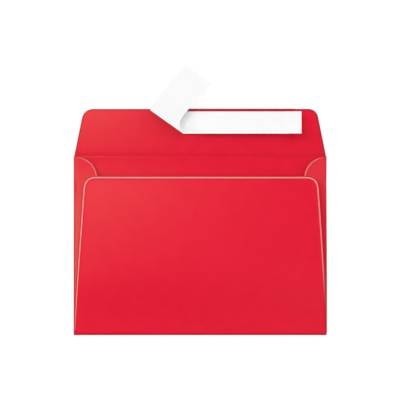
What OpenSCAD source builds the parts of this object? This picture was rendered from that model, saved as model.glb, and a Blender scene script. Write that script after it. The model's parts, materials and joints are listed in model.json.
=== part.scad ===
// Peel-and-seal envelope, lying on its front with the seal flap open.
// +X runs along the fold of the flap, +Y towards the flap's free edge, +Z out of the back panel.
// The origin is the middle of the front panel's outer face.

/* [Envelope] */
// Width over the two side folds
env_w = 162; // [120:1:240]
// Height from the bottom fold to the fold of the seal flap
env_h = 114; // [90:1:180]
// Thickness of the paper
paper_t = 0.15; // [0.1:0.01:0.25]
// Free space for the letter, between the front panel and the side flaps
pocket_gap = 0.5; // [0.3:0.05:2]

/* [Seal flap] */
// Height of the flap, from its fold to its free edge
flap_h = 31; // [24:0.5:50]
// How far each end of the flap leans in between its fold and its free edge
flap_lean = 6.5; // [0:0.5:14]
// Radius of the flap's two free corners
flap_corner_r = 6.6; // [2:0.2:12]
// Width of the scored band that bends
crease_w = 1.2; // [0.8:0.1:2]
// Depth of the score groove in that band
score_depth = 0.05; // [0.02:0.01:0.08]
// Room left inside the fold of the closed flap
fold_room = 1.1; // [0.6:0.1:2]

/* [Back panel] */
// Distance from the flap's fold down to the top edge of the back panel
throat_h = 12.3; // [8:0.1:20]
// How far each side edge of the back panel leans in between the bottom fold and the top edge
back_lean = 5.5; // [0:0.5:12]
// Radius of the back panel's two upper corners
back_corner_r = 6.2; // [2:0.2:10]

/* [Side flaps] */
// Reach of each side flap from the outer edge of the envelope
side_reach = 14.3; // [12:0.1:30]
// Radius of the round shoulder at the top of each side flap
shoulder_r = 13.3; // [6:0.1:14]
// Clear height between the bottom fold and the foot of each side flap, at the side fold
foot_gap = 3; // [1:0.5:8]
// How much higher the foot is at the inner edge of the side flap
foot_rise = 7; // [0:0.5:14]

/* [Seam gum] */
// Width of each gum line
gum_w = 4.5; // [2:0.5:5]
// Thickness of the dried gum
gum_t = 0.05; // [0.03:0.01:0.1]
// Distance of the gum line from the side edge of the back panel
gum_inset = 2.2; // [1:0.1:2.4]
// Distance of the ends of the gum line from the foot and the shoulder of the side flap
gum_end_gap = 3; // [1:0.5:8]

/* [Adhesive strip] */
// Width of the adhesive strip
tack_w = 10.5; // [6:0.5:12]
// Length of the adhesive strip
tack_l = 124; // [80:1:140]
// Thickness of the adhesive strip
tack_t = 0.05; // [0.03:0.01:0.1]

/* [Release liner] */
// Width of the liner strip
liner_w = 14.5; // [12:0.1:17]
// Length of the liner strip before it was peeled
liner_l = 130; // [100:1:144]
// Thickness of the liner
liner_t = 0.1; // [0.06:0.01:0.14]
// Distance between the liner and the free edge of the flap
liner_margin = 1.5; // [0.5:0.1:4]
// Place of the peeled fold on the middle of the strip, from the centre line of the envelope
peel_x = -20.7; // [-30:0.1:10]
// Slope of the peeled fold across the strip
peel_angle = 35.4; // [30:0.1:50]
// Outer radius of the curl
curl_r = 1.3; // [0.8:0.1:1.5]
// Length of the loose tail, from the curl to its end
tail_l = 36; // [20:0.5:50]
// Width of the tail where it leaves the curl
tail_root_w = 17.5; // [12:0.1:20]
// Width of the tail at its free end
tail_end_w = 20; // [12:0.1:24]
// Rise of the tail's free end above the curl
tail_lift = 4.5; // [1:0.1:5]
// Width left at the tip of the curl, at the lower edge of the strip
tip_w = 0.6; // [0.4:0.1:1]

/* [Hidden] */
$fn = 96;

red_paper = [0.90, 0.12, 0.23];
red_fold = [0.84, 0.13, 0.21];
dried_gum = [0.86, 0.82, 0.72];
clear_tack = [0.92, 0.80, 0.80];
white_liner = [0.98, 0.98, 0.98];

// Heights of the stacked sheets, from the front panel up
side_z = paper_t + pocket_gap;
gum_z = side_z + paper_t;
back_z = gum_z + gum_t;
stack_t = back_z + paper_t;
tack_z = paper_t;
liner_z = tack_z + tack_t;

// Folds: half rounds that carry one sheet over another
side_fold_r = (side_z + paper_t) / 2;
bottom_fold_r = stack_t / 2;
fold_gap = 0.2;
fold_y = env_h / 2;
// The closed flap lies with its liner on the back panel, so it turns about half of that height
fold_axis_z = (stack_t + paper_t + tack_t + liner_t + fold_room) / 2;
score_r = fold_axis_z - paper_t + score_depth;

// Flat parts of the panels, between the folds
panel_x = env_w / 2 - side_fold_r;
panel_low_y = -env_h / 2 + bottom_fold_r;
panel_high_y = fold_y - crease_w / 2;
back_h = env_h - throat_h - bottom_fold_r;
back_lean_angle = atan2(back_lean, back_h);

// Side flaps: the shoulder starts level beside the fold, then rounds down to the inner edge
foot_y = panel_low_y + foot_gap;
shoulder_y = panel_high_y - shoulder_r;
shoulder_flat = side_reach - side_fold_r - shoulder_r;
foot_inner_y = foot_y + foot_rise;

// Liner strip on the flap
liner_high_y = fold_y + flap_h - liner_margin;
liner_low_y = liner_high_y - liner_w;
liner_mid_y = (liner_high_y + liner_low_y) / 2;
// The peeled fold runs down to the right, and the tail points at right angles to it
tail_angle = 90 - peel_angle;
limb_l = liner_w / sin(peel_angle);
limb_x = peel_x - liner_w / 2 / tan(peel_angle);
// The strip leaves the adhesive one curl radius further along the tail's direction
lift_off_x = curl_r / sin(peel_angle);
tail_z = liner_z + 2 * curl_r;
tail_run = tail_l - curl_r;
bend_r = (tail_run * tail_run + tail_lift * tail_lift) / (2 * tail_lift);
// Round inner edge between the tip of the curl and the tail's lower edge
inner_r = limb_l - tail_root_w;
far = env_w + env_h;

// A sheet of the blank: the outline drawn at a height
module sheet(z, t) {
    translate([0, 0, z])
        linear_extrude(t)
            children();
}

// Outline that narrows upwards from the X axis, with its two upper corners rounded
module tapered_outline(low_w, high_w, h, r) {
    lean = atan2((low_w - high_w) / 2, h);
    reach = r * tan((90 - lean) / 2);
    side = [high_w / 2 + reach * sin(lean), h - reach * cos(lean)];
    polygon([
        [-low_w / 2, 0], [low_w / 2, 0],
        side, [high_w / 2 - reach, h],
        [reach - high_w / 2, h], [-side.x, side.y]
    ]);
    for (x = [-1, 1])
        translate([x * (high_w / 2 - reach), h - r])
            circle(r);
}

// Half-round fold, bulging towards -X, along +Y
module half_fold(r, l) {
    translate([r, l, r])
        rotate([90, 0, 0])
            linear_extrude(l)
                intersection() {
                    difference() {
                        circle(r);
                        circle(r - paper_t);
                    }
                    translate([-2 * r, -r])
                        square(2 * r);
                }
}

module flap_outline() {
    translate([0, fold_y])
        tapered_outline(env_w, env_w - 2 * flap_lean, flap_h, flap_corner_r);
}

module side_flap() {
    sheet(side_z, paper_t)
        translate([-panel_x, 0]) {
            polygon([
                [0, foot_y], [shoulder_flat + shoulder_r, foot_inner_y],
                [shoulder_flat + shoulder_r, shoulder_y], [0, shoulder_y]
            ]);
            translate([0, shoulder_y])
                square([shoulder_flat, shoulder_r]);
            translate([shoulder_flat, shoulder_y])
                intersection() {
                    circle(shoulder_r);
                    square(shoulder_r);
                }
        }
}

module side_fold() {
    low_y = panel_low_y + fold_gap;
    translate([-env_w / 2, low_y, 0])
        half_fold(side_fold_r, panel_high_y - low_y);
}

// Gum line along the side edge of the back panel, between the foot and the shoulder of the side flap
module seam_gum() {
    low_y = foot_inner_y + gum_end_gap;
    high_y = shoulder_y - gum_end_gap;
    edge_slope = tan(back_lean_angle);
    low_x = gum_inset - env_w / 2 + (low_y - panel_low_y) * edge_slope;
    high_x = gum_inset - env_w / 2 + (high_y - panel_low_y) * edge_slope;
    sheet(gum_z, gum_t)
        polygon([[low_x, low_y], [low_x + gum_w, low_y], [high_x + gum_w, high_y], [high_x, high_y]]);
}

// Places a profile drawn as distance along the tail against height, and runs it along the peeled fold
module along_peel(l) {
    translate([limb_x, liner_high_y, 0])
        rotate([90, 0, tail_angle])
            linear_extrude(l)
                children();
}

// Places an outline drawn as distance along the tail against distance down the peeled fold
module over_peel() {
    translate([limb_x, liner_high_y, 0])
        rotate([0, 0, tail_angle])
            linear_extrude(tail_z + 2 * tail_lift)
                children();
}

// The strip's own long band, on which the curl starts and past whose lower edge the tip never reaches
module strip_band(high_y) {
    translate([-far / 2, liner_low_y, 0])
        cube([far, high_y - liner_low_y, far]);
}

module curl_ring() {
    translate([curl_r, liner_z + curl_r])
        difference() {
            circle(curl_r);
            circle(curl_r - liner_t);
        }
}

// Outline of what lies over the fold: the tip of the curl, its round inner edge and the tail
module tail_outline() {
    difference() {
        mirror([0, 1])
            polygon([
                [0, 0], [tail_l, 0], [tail_l, tail_end_w],
                [tip_w + inner_r, tail_root_w], [tip_w + inner_r, limb_l + inner_r], [0, limb_l + inner_r]
            ]);
        translate([tip_w + inner_r, -limb_l])
            circle(inner_r);
        translate([tip_w, -limb_l - far])
            square([far, far]);
    }
}

module front_panel() {
    color(red_paper)
        sheet(0, paper_t)
            translate([-panel_x, panel_low_y])
                square([2 * panel_x, panel_high_y - panel_low_y]);
}

module back_panel() {
    color(red_paper)
        sheet(back_z, paper_t)
            translate([0, panel_low_y])
                tapered_outline(env_w, env_w - 2 * back_lean, back_h, back_corner_r);
}

module left_side_flap() {
    color(red_paper)
        side_flap();
}

module right_side_flap() {
    color(red_paper)
        mirror([1, 0, 0])
            side_flap();
}

module seal_flap() {
    color(red_paper)
        sheet(0, paper_t)
            difference() {
                flap_outline();
                translate([-env_w, fold_y - env_h])
                    square([2 * env_w, env_h + crease_w / 2]);
            }
}

module left_fold() {
    color(red_fold)
        side_fold();
}

module right_fold() {
    color(red_fold)
        mirror([1, 0, 0])
            side_fold();
}

module bottom_fold() {
    color(red_fold)
        translate([env_w / 2, -env_h / 2, 0])
            rotate([0, 0, 90])
                half_fold(bottom_fold_r, env_w);
}

// Scored band between the front panel and the flap, grooved round the flap's turning axis
module flap_crease() {
    color(red_fold)
        difference() {
            sheet(0, paper_t) {
                translate([-env_w / 2, panel_high_y])
                    square([env_w, crease_w / 2]);
                intersection() {
                    flap_outline();
                    translate([-env_w / 2, fold_y])
                        square([env_w, crease_w / 2]);
                }
            }
            translate([-env_w, fold_y, fold_axis_z])
                rotate([0, 90, 0])
                    cylinder(r = score_r, h = 2 * env_w);
        }
}

module left_seam_gum() {
    color(dried_gum)
        seam_gum();
}

module right_seam_gum() {
    color(dried_gum)
        mirror([1, 0, 0])
            seam_gum();
}

module adhesive_strip() {
    color(clear_tack)
        sheet(tack_z, tack_t)
            translate([-tack_l / 2, liner_mid_y - tack_w / 2])
                square([tack_l, tack_w]);
}

// The part of the liner that is still stuck, cut off where the peeled part lifts
module release_liner() {
    color(white_liner)
        sheet(liner_z, liner_t)
            polygon([
                [limb_x + lift_off_x, liner_high_y],
                [limb_x + lift_off_x + liner_w / tan(peel_angle), liner_low_y],
                [liner_l / 2, liner_low_y], [liner_l / 2, liner_high_y]
            ]);
}

// Half-round curl: its lower half is as wide as the strip, its upper half already follows the tail
module liner_curl() {
    color(white_liner) {
        intersection() {
            along_peel(far)
                intersection() {
                    curl_ring();
                    translate([0, liner_z])
                        square(curl_r);
                }
            strip_band(liner_high_y);
        }
        intersection() {
            along_peel(far)
                intersection() {
                    curl_ring();
                    translate([0, liner_z + curl_r])
                        square(curl_r);
                }
            over_peel()
                tail_outline();
            strip_band(far);
        }
    }
}

// Loose tail, bent up slightly towards its free end
module liner_tail() {
    color(white_liner)
        intersection() {
            along_peel(far)
                intersection() {
                    translate([curl_r, tail_z + bend_r])
                        difference() {
                            circle(bend_r + liner_t, $fn = 360);
                            circle(bend_r, $fn = 360);
                        }
                    translate([curl_r, liner_z])
                        square([tail_run, tail_z + 2 * tail_lift]);
                }
            over_peel()
                tail_outline();
        }
}

front_panel();
back_panel();
left_side_flap();
right_side_flap();
seal_flap();
left_fold();
right_fold();
bottom_fold();
flap_crease();
left_seam_gum();
right_seam_gum();
adhesive_strip();
release_liner();
liner_curl();
liner_tail();
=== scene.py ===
import json
import math

import bmesh
import bpy
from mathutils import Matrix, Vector, noise


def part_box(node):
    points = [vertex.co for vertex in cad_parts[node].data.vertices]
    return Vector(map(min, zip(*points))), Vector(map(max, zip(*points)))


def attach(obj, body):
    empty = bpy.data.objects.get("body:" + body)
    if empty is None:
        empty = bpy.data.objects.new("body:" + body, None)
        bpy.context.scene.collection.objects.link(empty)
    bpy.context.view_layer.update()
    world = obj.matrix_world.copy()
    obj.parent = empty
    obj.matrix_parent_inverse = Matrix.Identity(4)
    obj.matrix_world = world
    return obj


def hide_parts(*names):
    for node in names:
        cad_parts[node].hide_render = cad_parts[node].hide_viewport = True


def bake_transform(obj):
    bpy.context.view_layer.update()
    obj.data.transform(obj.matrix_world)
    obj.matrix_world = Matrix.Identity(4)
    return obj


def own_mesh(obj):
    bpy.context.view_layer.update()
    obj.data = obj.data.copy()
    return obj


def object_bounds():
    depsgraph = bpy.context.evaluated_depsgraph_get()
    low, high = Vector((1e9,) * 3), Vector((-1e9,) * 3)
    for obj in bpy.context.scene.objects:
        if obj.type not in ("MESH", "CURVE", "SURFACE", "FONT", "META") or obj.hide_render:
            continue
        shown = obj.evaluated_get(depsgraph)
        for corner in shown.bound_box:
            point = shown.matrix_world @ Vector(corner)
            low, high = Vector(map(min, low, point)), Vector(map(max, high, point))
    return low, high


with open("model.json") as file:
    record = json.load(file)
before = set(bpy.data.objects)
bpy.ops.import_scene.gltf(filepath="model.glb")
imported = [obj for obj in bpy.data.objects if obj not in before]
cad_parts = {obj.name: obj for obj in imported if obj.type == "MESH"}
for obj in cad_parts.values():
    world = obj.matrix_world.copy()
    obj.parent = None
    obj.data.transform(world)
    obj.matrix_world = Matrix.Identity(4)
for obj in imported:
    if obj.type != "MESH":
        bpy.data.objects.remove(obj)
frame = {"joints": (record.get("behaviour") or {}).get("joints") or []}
cadLow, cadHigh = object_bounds()
mm = 0.001

# places taken from the frame
frontLow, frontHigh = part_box("front_panel")
backLow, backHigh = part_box("back_panel")
sideLow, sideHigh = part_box("left_side_flap")
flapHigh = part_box("seal_flap")[1]
tackLow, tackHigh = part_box("adhesive_strip")
linerLow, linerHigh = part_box("release_liner")
curlLow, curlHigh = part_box("liner_curl")
gumLow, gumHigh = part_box("left_seam_gum")
joints = {j["name"]: j for j in frame["joints"]}
foldY = joints["flap_fold"]["pos_m"][1]  # line on which the flap bends
halfWidth = backHigh.x
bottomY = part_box("bottom_fold")[0].y
paperThick = frontHigh.z - frontLow.z
frontMid = (frontLow.z + frontHigh.z) / 2  # heights of the sheets' middle surfaces
sideMid = (sideLow.z + sideHigh.z) / 2
backMid = (backLow.z + backHigh.z) / 2


def srgb(r, g, b):
    def linear(c):
        c /= 255
        return c / 12.92 if c <= 0.04045 else ((c + 0.055) / 1.055) ** 2.4
    return (linear(r), linear(g), linear(b), 1.0)


def clamp(value, low=0.0, high=1.0):
    return min(max(value, low), high)


def smooth(t):
    t = clamp(t)
    return t * t * (3 - 2 * t)


def mix(a, b, t):
    return a + (b - a) * t


def pick(pair, place):
    return pair[1 if place > 0 else 0]  # pairs are left and right, or below and above


# heights of the folded paper

pocket = {
    "puff": 0.8 * mm,  # how far the closed pocket stands open
    "footRun": 40 * mm,  # width of the slope above the bottom fold
    "peakY": -18 * mm,  # above this the pocket closes a little
    "mouthDip": 0.2,  # share of the puff lost at the mouth
    "margin": 0.8 * mm,  # the slopes along the side folds end just under the back panel
    "mouthRun": 0.9 * mm,  # at the mouth the side folds stand up steeply
    "mouthFrom": 22 * mm,
    "lift": 0.5 * mm,  # the springy flap lifts the upper edge off the table
    "liftFrom": 40 * mm,
    "wave": 0.05 * mm,  # faint unevenness of the sheet
    "waveLength": 42 * mm,
}

backSheet = {
    "lean": (6.4 * mm, 5.2 * mm),  # how far the left and the right edge lean in at the top
    "leanCurve": (1.08, 1.36),  # more so towards the top
    "over": 0.3 * mm,  # the thin strip outside the pale line, which carries its painted shadow
    "cornerRadius": 7.4 * mm,
    "rim": 1.65 * mm,  # width of the painted shadow and the pale line together
    "rimFoot": 0.5,  # share of it left at the foot
    "rimLoops": (0.12, 0.24, 0.36, 0.48, 0.8, 1.0, 1.15, 1.7),  # where cells are cut along it
    "topTone": 1.0,  # the painted highlight on the cut edge is palest along the top
    "toneRun": 12 * mm,  # and takes the sides' tone this far down
    "rimTone": (0.9, 0.81),  # paler on the left than on the right
    "footTone": (0.78, 0.42),  # and duller at the foot
    "footShare": 0.5,  # share of the height in which that changes
    "bead": 0.06 * mm,  # the pale edge is a little raised
    "edgeLift": 0.3 * mm,  # the margin outside the gum stands off a little
    "liftRun": 2.2 * mm,
    "liftShare": 0.125,  # share of the height in which that comes to its full above the bottom fold
    "waveShare": 0.25,  # and the same for the unevenness
    "crown": 0.7 * mm,  # extra bulge in the middle
    "crownAt": 0.5,  # share of the height at which it is highest
    "crownPower": 4,  # flat in the middle, steep towards the sides
    "foldRows": 10,
    "step": 3 * mm,
}

crease = {
    "below": 3 * mm,  # reach of the band below the fold's line
    "score": 0.8 * mm,  # the pressed line lies a little above it
    "above": 5 * mm,
    "spring": 0.15 * mm,  # how far the paper springs up behind the pressed line
    "springRun": 2.2 * mm,
    "soft": 0.5 * mm,  # how round the bend at that line is
    "mark": 0.24,  # painted shade: a darker line along the pressed line
    "markRun": (1.3 * mm, 4.0 * mm),  # its reach downwards and upwards
    "bendHalf": 1.5 * mm,  # half of the band that bends when the flap closes
    "rowStep": 0.25 * mm,
}

flap = {
    "lean": 6.5 * mm,  # each end leans in by this much at the free edge
    "nick": 0.18 * mm,  # the flap is cut a little narrower than the pocket
    "nickRun": 0.72 * mm,
    "short": 0.18 * mm,  # shorter where no liner stiffens it
    "cornerRadius": (5.9 * mm, 5.0 * mm),  # left and right
    "rim": 1.1 * mm,  # width of the darker edge, painted shade
    "rimWider": 1.45,  # it reaches as far as the liner
    "rimTone": (0.28, 0.2),  # darker on the right
    "linerTone": 0.08,  # and darkest beside the liner, painted as its shadow
    "linerRun": 3 * mm,  # where that begins and ends
    "rimLoops": (0.5, 0.8, 1.0, 1.15, 1.7),
    "slope": 0.042,  # the open flap rises towards its free edge
    "step": 3 * mm,
    "fineStep": 1.5 * mm,
}


def wave(x, y):
    return pocket["wave"] * noise.noise(Vector((x, y, 0)) / pocket["waveLength"])


def backHalfWidth(y, side):
    rise = clamp((y - backLow.y) / (backHigh.y - backLow.y))
    return halfWidth - pick(backSheet["lean"], side) * rise ** pick(backSheet["leanCurve"], side)


def pillow(x, y):
    atMouth = smooth((y - pocket["mouthFrom"]) / (backHigh.y - pocket["mouthFrom"]))
    run = mix(halfWidth - backHalfWidth(y, x) + pocket["margin"], pocket["mouthRun"], atMouth)
    side = smooth((halfWidth - abs(x)) / run)
    foot = smooth((y - bottomY) / pocket["footRun"])
    mouth = smooth((y - pocket["peakY"]) / (sideHigh.y - pocket["peakY"]))
    return pocket["puff"] * side * foot * (1 - pocket["mouthDip"] * mouth)


def crownHeight(x, rise):
    peak = backSheet["crownAt"]
    up = smooth(rise / peak) if rise < peak else 1 - ((rise - peak) / (1 - peak)) ** 2
    return backSheet["crown"] * up * (1 - (x / halfWidth) ** backSheet["crownPower"])


def upperLift(y):
    return pocket["lift"] * clamp((y - pocket["liftFrom"]) / (foldY - pocket["liftFrom"])) ** 2


def flapHeight(y):
    beyond = y - foldY - crease["score"]
    beyond = (beyond + math.hypot(beyond, crease["soft"])) / 2  # no sharp kink at the line
    spring = crease["spring"] * (1 - math.exp(-beyond / crease["springRun"]))
    return frontMid + upperLift(y) + spring + flap["slope"] * beyond


def flapHalfWidth(y):
    if y < frontHigh.y:
        return frontHigh.x
    if y < foldY:
        return mix(frontHigh.x, halfWidth, (y - frontHigh.y) / (foldY - frontHigh.y))
    nick = flap["nick"] * smooth((y - foldY) / flap["nickRun"])
    return halfWidth - nick - flap["lean"] * (y - foldY) / (flapHigh.y - foldY)


# sheets: a rectangle cut into cells, shaped, then given its thickness

tiny = 0.0001 * mm  # lines nearer than this to a border are left out
farFromEdge = 9  # edge gap where a sheet has no cut edge
underside = -0.5  # normals that point further down than this are on a lower face
sharpBend = math.radians(35)  # edges bent more than this aren't shaded smooth


def rimLines(sheet):
    return [share * sheet["rim"] for share in sheet["rimLoops"]]


def beadHeight(sheet, share):  # round across the rim, nothing beyond it
    return sheet["bead"] * 4 * max(0, share * (1 - share))


def cutLines(low, high, step, lowRims=(), highRims=()):
    inner = [low + r for r in lowRims] + [high - r for r in highRims]
    start = max([low] + [low + r for r in lowRims])
    stop = min([high] + [high - r for r in highRims])
    count = max(1, round((stop - start) / step))
    inner += [mix(start, stop, i / count) for i in range(count + 1)]
    return sorted(set(round(v, 8) for v in inner if low + tiny < v < high - tiny))


def cellSheet(low, high, xLines, yLines):
    bm = bmesh.new()
    bmesh.ops.create_grid(bm, x_segments=1, y_segments=1, size=0.5)
    bmesh.ops.scale(bm, vec=(high[0] - low[0], high[1] - low[1], 1), verts=bm.verts)
    middle = ((low[0] + high[0]) / 2, (low[1] + high[1]) / 2, 0)
    bmesh.ops.translate(bm, vec=middle, verts=bm.verts)
    for axis, lines in ((0, xLines), (1, yLines)):
        normal = Vector((axis == 0, axis == 1, 0))
        for at in lines:
            everything = bm.verts[:] + bm.edges[:] + bm.faces[:]
            bmesh.ops.bisect_plane(bm, geom=everything, plane_co=normal * at, plane_no=normal)
    return bm


def roundCorner(x, y, cornerX, cornerY, radius):
    right = x - (cornerX - radius)
    up = y - (cornerY - radius)
    if right <= 0 or up <= 0:
        return x, y
    reach = max(right, up)  # squares round the corner's centre become arcs
    angle = math.pi / 4 * (up / right if right >= up else 2 - right / up)
    return cornerX - radius + reach * math.cos(angle), cornerY - radius + reach * math.sin(angle)


def finishSheet(bm, name, thickness, material):
    bm.normal_update()
    for v in bm.verts:
        v.co += v.normal * thickness / 2  # the cells were the sheet's middle surface
    bmesh.ops.solidify(bm, geom=bm.faces[:], thickness=thickness)
    bm.normal_update()
    wear = bm.verts.layers.float.get("wear")
    for v in bm.verts:
        if wear and v.normal.z < underside:
            v[wear] = 0  # only the upper face carries the painted sheen and shade
    for face in bm.faces:
        face.smooth = True
    for edge in bm.edges:
        edge.smooth = edge.calc_face_angle(0) < sharpBend
    mesh = bpy.data.meshes.new(name)
    bm.to_mesh(mesh)
    bm.free()
    piece = bpy.data.objects.new(name, mesh)
    bpy.context.scene.collection.objects.link(piece)
    mesh.materials.append(material)
    return piece


# shader groups

def newGroup(name, inputs):
    group = bpy.data.node_groups.new(name, "ShaderNodeTree")
    for label, kind in inputs.items():
        group.interface.new_socket(label, in_out="INPUT", socket_type=kind)
    return group, group.nodes.new("NodeGroupInput").outputs


def closeGroup(group, results):
    for label in results:
        group.interface.new_socket(label, in_out="OUTPUT", socket_type="NodeSocketFloat")
    end = group.nodes.new("NodeGroupOutput")
    for label, value in results.items():
        group.links.new(value, end.inputs[label])
    return group


def addNode(tree, kind, values=None, **settings):
    node = tree.nodes.new(kind)
    for key, value in settings.items():
        setattr(node, key, value)
    for key, value in (values or {}).items():
        node.inputs[key].default_value = value
    return node


def noiseNode(tree, vector, scale, detail, rough):
    values = {"Scale": scale, "Detail": detail, "Roughness": rough}
    node = addNode(tree, "ShaderNodeTexNoise", values)
    tree.links.new(vector, node.inputs["Vector"])
    return node.outputs["Fac"]


def rangeNode(tree, value, fromLow, fromHigh, toLow, toHigh):
    values = {"From Min": fromLow, "From Max": fromHigh, "To Min": toLow, "To Max": toHigh}
    node = addNode(tree, "ShaderNodeMapRange", values, interpolation_type="SMOOTHSTEP")
    tree.links.new(value, node.inputs["Value"])
    return node.outputs["Result"]


def mathNode(tree, operation, *values):
    node = addNode(tree, "ShaderNodeMath", operation=operation)
    for i, value in enumerate(values):
        if isinstance(value, (int, float)):
            node.inputs[i].default_value = value
        else:
            tree.links.new(value, node.inputs[i])
    return node.outputs["Value"]


def mixColours(tree, factor, first, second):
    node = addNode(tree, "ShaderNodeMix", data_type="RGBA")
    tree.links.new(factor, node.inputs["Factor"])
    for key, value in (("A", first), ("B", second)):
        socket = [s for s in node.inputs if s.name == key and s.type == "RGBA"][0]
        if isinstance(value, tuple):
            socket.default_value = value
        else:
            tree.links.new(value, socket)
    return [s for s in node.outputs if s.type == "RGBA"][0]


paperFibre = {
    "cloud": (130, 3, 0.55),  # scale, detail and roughness of the sheet's uneven formation, some 8 mm wide
    "fibre": (1500, 5, 0.6),  # matted fibres
    "grain": (5200, 2, 0.5),
    "relief": (0.7, 0.3),  # shares of fibres and grain in it
}


def makeFibreGroup():
    group, given = newGroup("paperFibre", {"Vector": "NodeSocketVector"})
    cloud = noiseNode(group, given["Vector"], *paperFibre["cloud"])
    fibre = noiseNode(group, given["Vector"], *paperFibre["fibre"])
    grain = noiseNode(group, given["Vector"], *paperFibre["grain"])
    coarse = mathNode(group, "MULTIPLY", fibre, paperFibre["relief"][0])
    height = mathNode(group, "MULTIPLY_ADD", grain, paperFibre["relief"][1], coarse)
    return closeGroup(group, {"Cloud": cloud, "Fibre": fibre, "Height": height})


# bands along the cut edges: painted shadow outside, then the cut line (painted highlight, or the flap's
# painted shade), then painted shade inside
cutEdge = {
    "ragged": 0.12,  # the fibres make the borders uneven
    "lip": (0.39, 0.49),  # where each line fades out, as shares of the rim
    "cut": (0.9, 1.12),
    "score": (1.1, 1.7),
}


def makeEdgeGroup():
    group, given = newGroup("cutEdge", {"Gap": "NodeSocketFloat", "Fibre": "NodeSocketFloat"})
    ragged = mathNode(group, "MULTIPLY_ADD", given["Fibre"], cutEdge["ragged"], given["Gap"])
    lip = rangeNode(group, ragged, *cutEdge["lip"], 1, 0)
    cut = rangeNode(group, ragged, *cutEdge["cut"], 1, 0)
    score = rangeNode(group, ragged, *cutEdge["score"], 1, 0)
    return closeGroup(group, {"Lip": lip, "Cut": cut, "Score": score})


# painted shade: dark lines along the side folds and the bottom fold
foldWear = {
    "belowFlap": 2 * mm,  # the line along the side folds fades out below the flap
    "sides": (0.9 * mm, 0.4 * mm),  # distance from the side folds at which it starts and is full
    "foot": (0.8 * mm, 1.5 * mm),  # heights above the bottom fold up to which it is full, and where it ends
    "fibre": (0.3, 0.6),
    "least": 0.6,  # share of it left between the fibres
    "strength": 0.57,
}


def makeFoldGroup():
    group, given = newGroup("foldWear", {"Vector": "NodeSocketVector", "Fibre": "NodeSocketFloat"})
    split = addNode(group, "ShaderNodeSeparateXYZ")
    group.links.new(given["Vector"], split.inputs["Vector"])
    across = mathNode(group, "ABSOLUTE", split.outputs["X"])
    belowFlap = rangeNode(group, split.outputs["Y"], foldY - foldWear["belowFlap"], foldY, 1, 0)
    sides = rangeNode(group, across, *[halfWidth - gap for gap in foldWear["sides"]], 0, 1)
    foot = rangeNode(group, split.outputs["Y"], *[bottomY + gap for gap in foldWear["foot"]], 1, 0)
    lines = mathNode(group, "MAXIMUM", mathNode(group, "MULTIPLY", sides, belowFlap), foot)
    broken = rangeNode(group, given["Fibre"], *foldWear["fibre"], foldWear["least"], 1)
    return closeGroup(group, {"Wear": mathNode(group, "MULTIPLY", lines, broken)})


fibreGroup = makeFibreGroup()
edgeGroup = makeEdgeGroup()
foldGroup = makeFoldGroup()


def useGroup(tree, group, links):
    node = addNode(tree, "ShaderNodeGroup", node_tree=group)
    for key, value in links.items():
        tree.links.new(value, node.inputs[key])
    return node.outputs


def newMaterial(name, shaderValues):
    material = bpy.data.materials.new(name)
    material.use_nodes = True
    tree = material.node_tree
    shader = tree.nodes["Principled BSDF"]
    for key, value in shaderValues.items():
        shader.inputs[key].default_value = value
    place = addNode(tree, "ShaderNodeTexCoord").outputs["Object"]
    return material, tree, shader, place


def addBump(tree, shader, height, strength, distance):
    bump = addNode(tree, "ShaderNodeBump", {"Strength": strength, "Distance": distance})
    tree.links.new(height, bump.inputs["Height"])
    tree.links.new(bump.outputs["Normal"], shader.inputs["Normal"])


noiseReach = (0.3, 0.7)  # nearly all of a noise lies between these

redPaper = {
    "core": srgb(255, 156, 154),  # painted highlight: pale line along the cut edges, as if they catch the light
    # score: painted shade just inside the pale line
    "score": srgb(219, 20, 46),
    # dark colour of the painted shade and shadows
    "pressed": srgb(150, 10, 30),
    "trimmed": srgb(158, 50, 65),  # painted shade along the seal flap's cut edge
    # painted shadow: dark line just outside the pale line
    "lip": srgb(196, 18, 42),
    "lipFrom": (0.34, 0.42),  # tones of the cut edge, because only pale ones get a painted shadow outside
    "middle": 0.5,  # tone at which a cut edge has the paper's colour
    # painted sheen on the side flaps' shoulders
    "rubbed": srgb(229, 48, 64),
    # painted sheen on the left side fold
    "worn": srgb(221, 82, 77),
    "sheenTint": (1.0, 0.95, 0.6, 1.0),
    "bump": (0.25, 0.03 * mm),  # strength and height
}
outside = {"deep": srgb(228, 14, 51), "light": srgb(231, 18, 55), "sheen": 0.3, "rough": (0.31, 0.37)}
inside = {"deep": srgb(228, 24, 53), "light": srgb(231, 28, 57), "sheen": 0.19, "rough": (0.22, 0.27)}


def attributeNode(tree, name):
    return addNode(tree, "ShaderNodeAttribute", attribute_name=name).outputs["Fac"]


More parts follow.
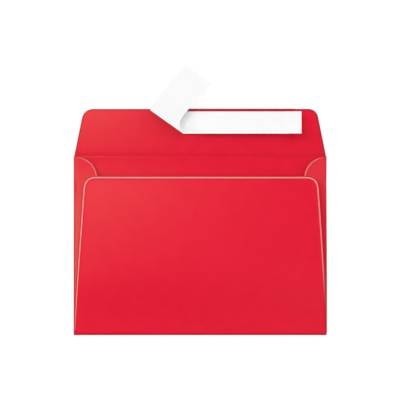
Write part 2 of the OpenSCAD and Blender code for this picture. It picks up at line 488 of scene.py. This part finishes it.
def makeRedPaper(name, finish):
    values = {"Specular IOR Level": finish["sheen"], "Specular Tint": redPaper["sheenTint"]}
    material, tree, shader, place = newMaterial(name, values)
    fibre = useGroup(tree, fibreGroup, {"Vector": place})
    edge = useGroup(tree, edgeGroup, {"Gap": attributeNode(tree, "edgeGap"), "Fibre": fibre["Fibre"]})
    fold = useGroup(tree, foldGroup, {"Vector": place, "Fibre": fibre["Fibre"]})
    tone = rangeNode(tree, fibre["Cloud"], *noiseReach, 0, 1)
    colour = mixColours(tree, tone, finish["deep"], finish["light"])
    # painted sheen on the shoulders
    colour = mixColours(tree, attributeNode(tree, "rub"), colour, redPaper["rubbed"])
    wear = attributeNode(tree, "wear")  # painted sheen above nothing, painted shade and shadow below it
    colour = mixColours(tree, wear, colour, redPaper["worn"])
    colour = mixColours(tree, rangeNode(tree, wear, 0, -1, 0, 1), colour, redPaper["pressed"])
    # painted shade just inside the pale line
    colour = mixColours(tree, edge["Score"], colour, redPaper["score"])
    cut = attributeNode(tree, "edgeTone")
    # painted shade along the seal flap's edge
    darker = rangeNode(tree, cut, 0, redPaper["middle"], 0, 1)
    rim = mixColours(tree, darker, redPaper["trimmed"], colour)
    # painted highlight: the pale line along the cut edges
    paler = rangeNode(tree, cut, redPaper["middle"], 1, 0, 1)
    rim = mixColours(tree, paler, rim, redPaper["core"])
    colour = mixColours(tree, edge["Cut"], colour, rim)
    # painted shadow outside the pale line
    pale = rangeNode(tree, cut, *redPaper["lipFrom"], 0, 1)
    colour = mixColours(tree, mathNode(tree, "MULTIPLY", edge["Lip"], pale), colour, redPaper["lip"])
    # painted shade along the folds
    foldLineShade = mathNode(tree, "MULTIPLY", fold["Wear"], foldWear["strength"])
    colour = mixColours(tree, foldLineShade, colour, redPaper["pressed"])
    tree.links.new(colour, shader.inputs["Base Color"])
    rough = rangeNode(tree, fibre["Fibre"], *noiseReach, *finish["rough"])
    tree.links.new(rough, shader.inputs["Roughness"])
    addBump(tree, shader, fibre["Height"], *redPaper["bump"])
    return material


linerPaper = {
    "shader": {"Specular IOR Level": 0.25},
    "colours": (srgb(243, 243, 244), srgb(245, 245, 245)),
    "cloud": noiseReach,  # reach of the noise that mixes the two
    "roughFrom": "Fibre",
    "rough": (0.36, 0.46),
    "bumpFrom": "Height",
    "bump": (0.12, 0.02 * mm),
}

clearTack = {
    "shader": {"Specular IOR Level": inside["sheen"], "Specular Tint": redPaper["sheenTint"]},
    "colours": (inside["deep"], inside["light"]),  # the red paper shows through
    "cloud": (0.35, 0.65),
    "roughFrom": "Cloud",
    "rough": (0.22, 0.25),
    "bumpFrom": "Fibre",
    "bump": (0.15, 0.02 * mm),
}

seamGum = {
    "shader": {"Specular IOR Level": 0.4},
    "colours": (srgb(214, 196, 150), srgb(228, 214, 176)),
    "cloud": (0.35, 0.65),
    "roughFrom": "Fibre",
    "rough": (0.3, 0.5),
    "bumpFrom": "Fibre",
    "bump": (0.3, 0.02 * mm),
}


def makeCloudedMaterial(name, finish):
    material, tree, shader, place = newMaterial(name, finish["shader"])
    fibre = useGroup(tree, fibreGroup, {"Vector": place})
    tone = rangeNode(tree, fibre["Cloud"], *finish["cloud"], 0, 1)
    tree.links.new(mixColours(tree, tone, *finish["colours"]), shader.inputs["Base Color"])
    rough = rangeNode(tree, fibre[finish["roughFrom"]], *noiseReach, *finish["rough"])
    tree.links.new(rough, shader.inputs["Roughness"])
    addBump(tree, shader, fibre[finish["bumpFrom"]], *finish["bump"])
    return material


redMaterial = makeRedPaper("redPaper", outside)
innerMaterial = makeRedPaper("redPaperInside", inside)
linerMaterial = makeCloudedMaterial("linerPaper", linerPaper)
tackMaterial = makeCloudedMaterial("clearTack", clearTack)
gumMaterial = makeCloudedMaterial("seamGum", seamGum)
print("materials ready")


def placeOn(piece, body, slot, *nodes):
    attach(piece, body)
    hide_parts(*nodes)


# front of the pocket

frontSheet = {
    "step": 3 * mm,
    "leftStep": 0.75 * mm,  # finer cells beside the left side flap
    "mouthStep": 0.5 * mm,  # and inside the mouth
    "mouthDepth": 3 * mm,
    "scuff": 0.3,  # painted shadow just above the back panel's edge
    "scuffRun": 0.9 * mm,
    "soil": 0.15,  # a fainter painted shadow reaches further up
    "soilRun": 4 * mm,
    "soilLeft": 0.28,  # and lies beside the left side flap
    "soilLeftRun": 6.5 * mm,
    "clean": 9 * mm,  # it fades out further in, under the back panel
    "cleanRun": 6 * mm,
}


# painted shadow in the mouth: above the back panel's edge and beside the left side flap
def mouthShadow(x, y):
    up = y - backHigh.y - backSheet["over"]
    soil = frontSheet["scuff"] * (1 - smooth(up / frontSheet["scuffRun"]))
    soil += frontSheet["soil"] * (1 - smooth(up / frontSheet["soilRun"]))
    radius = sideSheet["shoulderRadius"]
    fromX = x - (sideHigh.x + sideSheet["over"] + sideSheet["longer"][0] - radius)
    fromY = y - (foldY + sideSheet["over"] - radius)
    beside = math.hypot(fromX, max(fromY, 0)) - radius
    soil += frontSheet["soilLeft"] * (1 - smooth(beside / frontSheet["soilLeftRun"]))
    return soil * smooth((up + frontSheet["clean"]) / frontSheet["cleanRun"])


def makeFrontSheet():
    high = (frontHigh.x, foldY - crease["below"])
    low = (frontLow.x, frontLow.y)
    mouthY = backHigh.y - frontSheet["mouthDepth"]
    mouthX = sideHigh.x + frontSheet["soilLeftRun"]
    xLines = cutLines(low[0], mouthX, frontSheet["leftStep"]) + [mouthX]
    xLines += cutLines(mouthX, high[0], frontSheet["step"])
    yLines = cutLines(low[1], mouthY, frontSheet["step"]) + [mouthY]
    yLines += cutLines(mouthY, high[1], frontSheet["mouthStep"])
    bm = cellSheet(low, high, xLines, yLines)
    gap = bm.verts.layers.float.new("edgeGap")
    wear = bm.verts.layers.float.new("wear")
    for v in bm.verts:
        v[gap] = farFromEdge
        v[wear] = -mouthShadow(v.co.x, v.co.y)
        v.co.z = frontMid + upperLift(v.co.y)
    return finishSheet(bm, "front_sheet", paperThick, innerMaterial)


# side flaps with their folds

sideSheet = {
    "shoulderRadius": 13.7 * mm,
    "over": 0.45 * mm,  # the thin strip outside the pale line, which carries its painted shadow
    "longer": (0.5 * mm, -0.2 * mm),  # the left flap reaches in further than the right one
    "footRise": 7 * mm,  # the foot slants up towards the inner edge
    "rim": 1.0 * mm,
    "rimTone": (0.78, 0.83),
    "foldTone": 0.6,  # the pale edge fades towards the fold
    "fadeRun": 8 * mm,
    "rimLoops": (0.12, 0.24, 0.36, 0.7, 1.0, 1.15, 1.7),
    "rub": (0.1, 1.0),  # painted sheen, mostly on the right shoulder
    "rubFrom": 10 * mm,
    "wearFrom": 50 * mm,  # painted sheen on the left fold and painted shadow on the right one, more so towards the foot
    "wearTo": -25 * mm,
    "soil": (0.29, 0.38),  # painted shadow on the right one: all along, and at the foot
    "soilStart": 0.05,  # share of the way down at which the first of these starts
    "soilRise": 0.12,  # and in which it comes to its full
    "soilFold": 0.6,  # share of both at the fold itself
    "soilRun": 3 * mm,
    "bulge": (0.09 * mm, 0.28 * mm),  # the folds are pressed less flat towards the foot
    "bulgeFrom": 45 * mm,
    "bulgeRun": 70 * mm,
    "bead": 0.05 * mm,  # the pale edge is a little raised
    "foldRows": 10,
    "step": 2 * mm,
}


def foldSheenAndShadow(y, inward, sign):  # painted sheen on the left fold, painted shadow on the right one
    down = clamp((sideSheet["wearFrom"] - y) / (sideSheet["wearFrom"] - sideSheet["wearTo"]))
    if sign < 0:
        return down
    soil = sideSheet["soil"][0] * smooth((down - sideSheet["soilStart"]) / sideSheet["soilRise"])
    soil += sideSheet["soil"][1] * down * down
    return -soil * mix(sideSheet["soilFold"], 1, smooth(inward / sideSheet["soilRun"]))


def makeSideSheet(name, sign):  # sign is -1 for the left one and 1 for the right one
    foldRadius = (sideMid - frontMid) / 2
    turn = math.pi * foldRadius  # paper used up by the fold
    flapWidth = sideHigh.x - sideLow.x + sideSheet["over"] + pick(sideSheet["longer"], sign)
    low = (-turn, sideLow.y)
    high = (flapWidth, foldY + sideSheet["over"])
    rims = rimLines(sideSheet)
    foldLines = [-turn * i / sideSheet["foldRows"] for i in range(sideSheet["foldRows"])]
    xLines = foldLines + cutLines(0, flapWidth, sideSheet["step"], highRims=rims)
    yLines = cutLines(low[1], high[1], sideSheet["step"], highRims=rims)
    bm = cellSheet(low, high, xLines, yLines)
    gap = bm.verts.layers.float.new("edgeGap")
    tone = bm.verts.layers.float.new("edgeTone")
    rub = bm.verts.layers.float.new("rub")
    wear = bm.verts.layers.float.new("wear")
    rimTone = pick(sideSheet["rimTone"], sign)
    shoulderY = high[1] - sideSheet["shoulderRadius"]
    for v in bm.verts:
        inward, y = v.co.x, v.co.y  # from the fold, and below 0 in the fold itself
        share = min(flapWidth - inward, high[1] - y) / sideSheet["rim"]
        inward, y = roundCorner(inward, y, flapWidth, high[1], sideSheet["shoulderRadius"])
        onFlap = max(inward, 0)
        v[gap] = share
        v[tone] = mix(sideSheet["foldTone"], rimTone, smooth(onFlap / sideSheet["fadeRun"]))
        # painted sheen, growing towards the top
        rubbed = smooth((y - sideSheet["rubFrom"]) / (foldY - sideSheet["rubFrom"]))
        v[rub] = rubbed * pick(sideSheet["rub"], sign)
        v[wear] = foldSheenAndShadow(y, onFlap, sign)
        if y < shoulderY:
            foot = low[1] + sideSheet["footRise"] * onFlap / flapWidth
            if inward < 0:
                foot = mix(low[1], frontLow.y, -inward / turn)
            y = mix(foot, shoulderY, (y - low[1]) / (shoulderY - low[1]))
        if inward < 0:  # round the fold, from the flap down to the front sheet
            angle = -inward / foldRadius
            bulge = pick(sideSheet["bulge"], sign)
            bulge *= smooth((sideSheet["bulgeFrom"] - y) / sideSheet["bulgeRun"])
            x = sideLow.x - (foldRadius + bulge) * math.sin(angle)
            z = sideMid - foldRadius * (1 - math.cos(angle))
        else:
            x = sideLow.x + inward
            z = sideMid + pillow(x * -sign, y) + wave(x * -sign, y) + beadHeight(sideSheet, share)
        v.co = (x * -sign, y, z + upperLift(y))
    if sign > 0:
        bmesh.ops.reverse_faces(bm, faces=bm.faces)  # mirrored
    return finishSheet(bm, name, paperThick, redMaterial)


placeOn(makeFrontSheet(), "pocket", "envelope_paper", "front_panel")
print("front sheet made")
placeOn(makeSideSheet("left_side_sheet", -1), "pocket", "envelope_paper", "left_side_flap", "left_fold")
placeOn(makeSideSheet("right_side_sheet", 1), "pocket", "envelope_paper", "right_side_flap", "right_fold")
print("side sheets made")


# back panel with the bottom fold

def makeBackSheet():
    foldRadius = (backMid - frontMid) / 2
    turn = math.pi * foldRadius
    low = (-halfWidth, backLow.y - turn)
    high = (halfWidth, backHigh.y + backSheet["over"])
    rims = rimLines(backSheet)
    foldLines = [backLow.y - turn * i / backSheet["foldRows"] for i in range(backSheet["foldRows"])]
    xLines = cutLines(low[0], high[0], backSheet["step"], rims, rims)
    yLines = foldLines + cutLines(backLow.y, high[1], backSheet["step"], highRims=rims)
    bm = cellSheet(low, high, xLines, yLines)
    gap = bm.verts.layers.float.new("edgeGap")
    tone = bm.verts.layers.float.new("edgeTone")
    height = high[1] - backLow.y
    for v in bm.verts:
        x, y = v.co.x, v.co.y
        rise = max(0, (y - backLow.y) / height)
        fromEdge = min(halfWidth - abs(x), high[1] - y)
        share = fromEdge / (backSheet["rim"] * mix(backSheet["rimFoot"], 1, rise))
        v[gap] = share if y > backLow.y else farFromEdge
        upward = smooth(rise / backSheet["footShare"])
        sideTone = mix(pick(backSheet["footTone"], x), pick(backSheet["rimTone"], x), upward)
        v[tone] = mix(backSheet["topTone"], sideTone, smooth((high[1] - y) / backSheet["toneRun"]))
        side = pick((-1, 1), x)
        x, y = roundCorner(abs(x), y, halfWidth, high[1], backSheet["cornerRadius"])
        x *= side * backHalfWidth(y, side) / halfWidth
        if y < backLow.y:
            angle = (backLow.y - y) / foldRadius
            y = backLow.y - foldRadius * math.sin(angle)
            z = backMid - foldRadius * (1 - math.cos(angle))
        else:
            rise = (y - backLow.y) / height
            z = backMid + pillow(x, y) + crownHeight(x, rise)
            z += wave(x, y) * smooth(rise / backSheet["waveShare"])
            lift = 1 - smooth(fromEdge / backSheet["liftRun"])
            z += backSheet["edgeLift"] * lift * smooth(rise / backSheet["liftShare"])
            z += beadHeight(backSheet, share) + upperLift(y)
        v.co = (x, y, z)
    return finishSheet(bm, "back_sheet", paperThick, redMaterial)


placeOn(makeBackSheet(), "pocket", "envelope_paper", "back_panel", "bottom_fold")
print("back sheet made")


# gum that holds the back panel to the side flaps

gumLine = {
    "width": 4.5 * mm,
    "inset": 2.2 * mm,  # from the back panel's edge
    "clear": 0.01 * mm,  # left between it and the paper on both sides
    "columns": 4,
    "step": 4 * mm,
}


def makeGumLine(name, sign):
    thick = gumHigh.z - gumLow.z - 2 * gumLine["clear"]
    low = (0, gumLow.y)
    high = (gumLine["width"], gumHigh.y)
    xLines = cutLines(0, high[0], high[0] / gumLine["columns"])
    yLines = cutLines(low[1], high[1], gumLine["step"])
    bm = cellSheet(low, high, xLines, yLines)
    for v in bm.verts:
        y = v.co.y
        x = sign * (backHalfWidth(y, sign) - gumLine["inset"] - v.co.x)
        z = (gumLow.z + gumHigh.z) / 2 + pillow(x, y) + wave(x, y) + upperLift(y)
        v.co = (x, y, z)
    if sign > 0:
        bmesh.ops.reverse_faces(bm, faces=bm.faces)
    return finishSheet(bm, name, thick, gumMaterial)


placeOn(makeGumLine("left_gum_line", -1), "pocket", "seam_gum", "left_seam_gum")
placeOn(makeGumLine("right_gum_line", 1), "pocket", "seam_gum", "right_seam_gum")
print("gum lines made")


# scored crease and seal flap

def makeCreaseBand():
    low = (-halfWidth, foldY - crease["below"])
    high = (halfWidth, foldY + crease["above"])
    rims = rimLines(flap)
    xLines = cutLines(low[0], high[0], flap["fineStep"], rims, rims)
    yLines = cutLines(low[1], high[1], crease["rowStep"])
    bm = cellSheet(low, high, xLines, yLines)
    gap = bm.verts.layers.float.new("edgeGap")
    tone = bm.verts.layers.float.new("edgeTone")
    wear = bm.verts.layers.float.new("wear")
    scoreY = foldY + crease["score"]
    for v in bm.verts:
        x, y = v.co.x, v.co.y
        v[gap] = (halfWidth - abs(x)) / flap["rim"] if y > foldY else farFromEdge  # the flap's dark edge, painted shade
        v[tone] = pick(flap["rimTone"], x)
        fromScore = abs(y - scoreY) / pick(crease["markRun"], y - scoreY)
        # painted shade along the crease, and the mouth's painted shadow below the fold
        v[wear] = -crease["mark"] * (1 - smooth(fromScore)) - (mouthShadow(x, y) if y < foldY else 0)
        v.co.x *= flapHalfWidth(y) / halfWidth
        v.co.z = flapHeight(y)
    return finishSheet(bm, "crease_band", paperThick, innerMaterial)


creaseBand = makeCreaseBand()
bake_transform(creaseBand)
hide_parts("flap_crease")


def makeFlapSheet():
    low = (-halfWidth, foldY + crease["above"])
    high = (halfWidth, flapHigh.y)
    rims = rimLines(flap)
    xLines = cutLines(low[0], high[0], flap["step"], rims, rims)
    yLines = cutLines(low[1], high[1], flap["fineStep"], highRims=rims)
    bm = cellSheet(low, high, xLines, yLines)
    gap = bm.verts.layers.float.new("edgeGap")
    tone = bm.verts.layers.float.new("edgeTone")
    for v in bm.verts:
        x, y = v.co.x, v.co.y
        beside = smooth((x - curlLow.x) / flap["linerRun"])
        beside *= smooth((linerHigh.x + flap["linerRun"] - x) / flap["linerRun"])
        beside *= smooth((y - linerHigh.y + flap["linerRun"]) / flap["rim"])
        v[gap] = min(halfWidth - abs(x), high[1] - y) / flap["rim"] / mix(1, flap["rimWider"], beside)
        v[tone] = mix(pick(flap["rimTone"], x), flap["linerTone"], beside)
        side = pick((-1, 1), x)
        x, y = roundCorner(abs(x), y, halfWidth, high[1], pick(flap["cornerRadius"], x))
        y -= flap["short"] * (1 - beside) * smooth((y - linerLow.y) / (high[1] - linerLow.y))
        v.co = (x * side * flapHalfWidth(y) / halfWidth, y, flapHeight(y))
    return finishSheet(bm, "flap_sheet", paperThick, innerMaterial)


placeOn(makeFlapSheet(), "flap", "envelope_paper", "seal_flap")
print("seal flap made")


# adhesive strip

tackFilm = {"step": 3 * mm, "upStep": 1.5 * mm, "clear": 0.004 * mm}


def makeTackFilm():
    low, high = tackLow.xy, tackHigh.xy
    thick = tackHigh.z - tackLow.z
    xLines = cutLines(low[0], high[0], tackFilm["step"])
    yLines = cutLines(low[1], high[1], tackFilm["upStep"])
    bm = cellSheet(low, high, xLines, yLines)
    for v in bm.verts:
        v.co.z = flapHeight(v.co.y) + (paperThick + thick) / 2
    return finishSheet(bm, "adhesive_film", thick - tackFilm["clear"], tackMaterial)


placeOn(makeTackFilm(), "flap", "clear_adhesive", "adhesive_strip")
print("adhesive made")


# release liner: stuck strip, curl and tail in one sheet

liner = {
    "drop": 0.3 * mm,  # the stuck strip lies a little low
    "peelOn": 0.42 * mm,  # and is peeled this much less than the stiff one
    "tailLength": 36.6 * mm,
    "tailRoot": 18.2 * mm,  # width at its root and its end
    "tailEnd": 20.95 * mm,
    "tailCurve": 1.7,  # it widens more towards its end
    "innerRun": 7.0 * mm,  # length of the round edge between the curl's tip and the tail
    "tailSag": 0.7 * mm,  # the free end hangs a little below the curl
    "curlShare": 0.9,  # the paper is bent tighter than the stiff curl
    "rise": 1.6,  # and reaches its full height early, so its upper edge is sharp
    "tip": 0.7 * mm,  # up to here what lies over the fold is as wide as the fold
    "flare": 2.45 * mm,  # the tail reaches past the strip's upper edge
    "flareFold": 0.5,  # share of that at the fold itself
    "flareRun": 5 * mm,
    "cup": 1.35 * mm,  # the strip hinges up along its upper edge, so its lower one stands off the flap
    "ease": 0.15,  # share of its width in which that starts
    "held": 0.4,  # share of that left beside the fold, where the curl presses the strip down
    "heldRun": 9 * mm,
    "trim": 0.4 * mm,  # the end on the right is torn off a little short
    "endLift": 1.5 * mm,  # and stands off, too
    "endRun": 12 * mm,
    "stuckRows": 30,
    "curlRows": 40,
    "tailRows": 30,
    "columns": 20,
    "keep": 0.15,  # share of its height left under the closed flap
    "clear": 0.02 * mm,  # height above the adhesive from which that is reckoned
}


def makeLiner():
    pull = joints["liner_pull"]["axis"]
    alongTail = Vector((pull[0], pull[1], 0)).normalized()
    downFold = Vector((alongTail.y, -alongTail.x, 0))
    slope = math.atan2(-downFold.y, downFold.x)
    top = linerHigh.y - liner["drop"]
    cornerX = curlLow.x + liner["drop"] / math.tan(slope) - liner["peelOn"]
    corner = Vector((cornerX, top, 0))  # upper end of the fold
    stripWidth = top - linerLow.y
    foldLength = stripWidth / math.sin(slope)
    radius = liner["curlShare"] * (curlHigh.z - curlLow.z) / 2
    innerDrop = foldLength - liner["tailRoot"]
    run = liner["tailLength"] - radius
    sagRadius = (run ** 2 + liner["tailSag"] ** 2) / (2 * liner["tailSag"])
    thick = linerHigh.z - linerLow.z

    def width(beyond):  # of what lies over the fold, this far beyond it
        if beyond <= liner["tip"]:
            return foldLength
        start = liner["tip"] + liner["innerRun"]
        if beyond < start:
            return foldLength - innerDrop * math.sqrt(1 - ((start - beyond) / liner["innerRun"]) ** 2)
        t = (beyond - start) / (liner["tailLength"] - start)
        return mix(liner["tailRoot"], liner["tailEnd"], t ** liner["tailCurve"])

    def flare(beyond):  # how far it reaches past the strip's upper edge
        share = mix(liner["flareFold"], 1, smooth(beyond / liner["flareRun"]))
        return liner["flare"] * (1 - beyond / liner["tailLength"]) * share

    def stripHeight(y, cupped):
        y = clamp(y, linerLow.y, top)
        down = (top - y) / stripWidth
        lift = cupped * liner["cup"] * (1 + liner["ease"]) * down * down / (down + liner["ease"])
        return flapHeight(y) + (paperThick + thick) / 2 + tackHigh.z - tackLow.z + lift

    def overFold(beyond, downward, up):
        spot = corner + alongTail * beyond + downFold * downward
        return Vector((spot.x, spot.y, stripHeight(spot.y, liner["held"]) + up))

    # each stretch: along from 0 to 1 towards the tail's end, across from 0 to 1 down the strip
    def stuckSpot(along, across):
        y = top - across * stripWidth
        peel = corner.x + radius / math.sin(slope) + across * stripWidth / math.tan(slope)
        end = linerHigh.x - liner["trim"]
        x = mix(end, peel, along)
        lift = liner["endLift"] * (1 - smooth((end - x) / liner["endRun"]))
        cupped = mix(liner["held"], 1, smooth((x - peel) * math.sin(slope) / liner["heldRun"]))
        return Vector((x, y, stripHeight(y, cupped) + lift))

    def curlSpot(along, across):
        toFold = along * 2  # 1 on the fold's line, where the paper turns back
        beyond = radius * (1 - math.sin(math.pi * along))
        if toFold < 1:
            downward = beyond / math.tan(slope) + across * foldLength
        else:
            downward = across * width(beyond)
        downward -= (1 - across) * flare(beyond) * smooth(toFold)
        return overFold(beyond, downward, 2 * radius * smooth(liner["rise"] * along))

    def tailSpot(along, across):
        beyond = mix(radius, liner["tailLength"], along)
        downward = across * width(beyond) - (1 - across) * flare(beyond)
        sag = sagRadius - math.sqrt(sagRadius ** 2 - (beyond - radius) ** 2)
        return overFold(beyond, downward, 2 * radius - sag)

    stretches = (stuckSpot, curlSpot, tailSpot)
    counts = (liner["stuckRows"], liner["curlRows"], liner["tailRows"])
    rows = [i + row / count for i, count in enumerate(counts) for row in range(count)]
    columns = [i / liner["columns"] for i in range(1, liner["columns"])]
    bm = cellSheet((0, 0), (len(stretches), 1), rows[1:], columns)
    for v in bm.verts:
        i = min(int(v.co.x), len(stretches) - 1)
        v.co = stretches[i](v.co.x - i, v.co.y)
    return finishSheet(bm, "release_liner_sheet", thick, linerMaterial)


linerSheet = makeLiner()
placeOn(linerSheet, "liner", "liner_paper", "release_liner", "liner_curl", "liner_tail")
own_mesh(linerSheet)
print("liner made")


# floor, light and camera

floorSet = {
    "size": 30.0,
    "drop": 0.15 * mm,  # just below the paper
    "white": 0.86,
    "glow": 0.8,  # share of it that shines, so that it looks white and its shadows are faint
    "glowLevel": 1.08,
    "plain": (0.35, 1.0),  # further off it only shines, up to the horizon
}


def makeFloor():
    bm = bmesh.new()
    bmesh.ops.create_grid(bm, x_segments=1, y_segments=1, size=floorSet["size"] / 2)
    bmesh.ops.translate(bm, vec=(0, 0, -floorSet["drop"]), verts=bm.verts)
    mesh = bpy.data.meshes.new("floor")
    bm.to_mesh(mesh)
    bm.free()
    floor = bpy.data.objects.new("floor", mesh)
    bpy.context.scene.collection.objects.link(floor)
    material = bpy.data.materials.new("floorWhite")
    material.use_nodes = True
    tree = material.node_tree
    tree.nodes.clear()
    white = (floorSet["white"],) * 3 + (1,)
    matt = addNode(tree, "ShaderNodeBsdfDiffuse", {"Color": white})
    glow = addNode(tree, "ShaderNodeEmission", {"Strength": floorSet["glowLevel"]})
    path = addNode(tree, "ShaderNodeLightPath")
    seen = mathNode(tree, "MAXIMUM", path.outputs["Is Camera Ray"], path.outputs["Is Glossy Ray"])
    seen = mathNode(tree, "MAXIMUM", seen, path.outputs["Is Transmission Ray"])
    reach = addNode(tree, "ShaderNodeVectorMath", operation="LENGTH")
    tree.links.new(addNode(tree, "ShaderNodeTexCoord").outputs["Object"], reach.inputs[0])
    share = rangeNode(tree, reach.outputs["Value"], *floorSet["plain"], floorSet["glow"], 1)
    blend = addNode(tree, "ShaderNodeMixShader")
    tree.links.new(mathNode(tree, "MULTIPLY", seen, share), blend.inputs["Fac"])
    tree.links.new(matt.outputs["BSDF"], blend.inputs[1])
    tree.links.new(glow.outputs["Emission"], blend.inputs[2])
    out = addNode(tree, "ShaderNodeOutputMaterial")
    tree.links.new(blend.outputs["Shader"], out.inputs["Surface"])
    mesh.materials.append(material)


room = {
    "walls": 0.98,  # soft light from all round
    "towards": (0.75, 0.66),  # the brighter side of the room
    "swing": 0.7,
    "ceiling": 0.12,  # dark overhead, where the camera hangs
    "wallTop": 0.5,  # heights, as sines of the elevation, at which the walls end and the ceiling starts
    "ceilingStart": 0.85,
}


def makeWorld():
    world = bpy.data.worlds.new("studio")
    world.use_nodes = True
    tree = world.node_tree
    back = tree.nodes["Background"]
    back.inputs["Color"].default_value = (1, 1, 1, 1)
    split = addNode(tree, "ShaderNodeSeparateXYZ")
    tree.links.new(addNode(tree, "ShaderNodeTexCoord").outputs["Generated"], split.inputs["Vector"])
    heights = (room["wallTop"], room["ceilingStart"])
    level = rangeNode(tree, split.outputs["Z"], *heights, room["walls"], room["ceiling"])
    across = mathNode(tree, "MULTIPLY", split.outputs["X"], room["swing"] * room["towards"][0])
    along = mathNode(tree, "MULTIPLY", split.outputs["Y"], room["swing"] * room["towards"][1])
    swing = mathNode(tree, "ADD", mathNode(tree, "ADD", across, along), 1.0)
    level = mathNode(tree, "MULTIPLY", level, swing)
    path = addNode(tree, "ShaderNodeLightPath")
    seen = mathNode(tree, "MAXIMUM", path.outputs["Is Camera Ray"], path.outputs["Is Transmission Ray"])
    tree.links.new(mathNode(tree, "MAXIMUM", level, seen), back.inputs["Strength"])
    bpy.context.scene.world = world


topLamp = {"from": (-0.8, 0.6), "elevation": 76, "distance": 1.22, "size": 0.2, "watts": 1.6}
leftLamp = {"from": (-1.0, 0.15), "elevation": 62, "distance": 1.1, "size": 0.3, "watts": 1.5}
cornerLamp = {"from": (0.7, -0.72), "elevation": 73, "distance": 1.23, "size": 0.2, "watts": 0.24}
sideLamp = {"from": (-0.75, 0.66), "elevation": 24, "distance": 1.9, "size": 0.9, "watts": 17.0}
rightLamp = {"from": (0.5, 0.87), "elevation": 24, "distance": 1.9, "size": 0.9, "watts": 8.0}


def makeLamp(name, settings, shadow=True, glare=True):
    data = bpy.data.lights.new(name, "AREA")
    data.shape = "DISK"
    data.size = settings["size"]
    data.energy = settings["watts"]
    data.use_shadow = shadow
    lamp = bpy.data.objects.new(name, data)
    bpy.context.scene.collection.objects.link(lamp)
    lamp.visible_glossy = glare
    elevation = math.radians(settings["elevation"])
    flat = Vector(settings["from"]).normalized() * math.cos(elevation)
    toLamp = Vector((flat.x, flat.y, math.sin(elevation)))
    lamp.location = (cadLow + cadHigh) / 2 + toLamp * settings["distance"]
    lamp.rotation_euler = toLamp.to_track_quat("Z", "Y").to_euler()


camera = {
    "lens": 85,
    "sensor": 36,
    "pixels": 400,
    "mmPerPixel": 0.6405,
    "centre": (-0.09 * mm, 29.6 * mm),  # point of the object in the middle of the picture
}


def makeCamera():
    data = bpy.data.cameras.new("camera")
    data.lens = camera["lens"]
    data.sensor_width = camera["sensor"]
    eye = bpy.data.objects.new("camera", data)
    bpy.context.scene.collection.objects.link(eye)
    across = camera["pixels"] * camera["mmPerPixel"] * mm
    distance = across * camera["lens"] / camera["sensor"]
    eye.location = (camera["centre"][0], camera["centre"][1], backHigh.z + distance)
    bpy.context.scene.camera = eye


makeFloor()
makeWorld()
makeLamp("top_lamp", topLamp, shadow=False)  # fills in, because the shadows are soft
makeLamp("left_lamp", leftLamp)
makeLamp("corner_lamp", cornerLamp)
makeLamp("side_lamp", sideLamp, glare=False)  # the low lamps would be mirrored in the paper
makeLamp("right_lamp", rightLamp, glare=False)
makeCamera()
bpy.context.scene.view_settings.view_transform = "Standard"
print("stage ready")
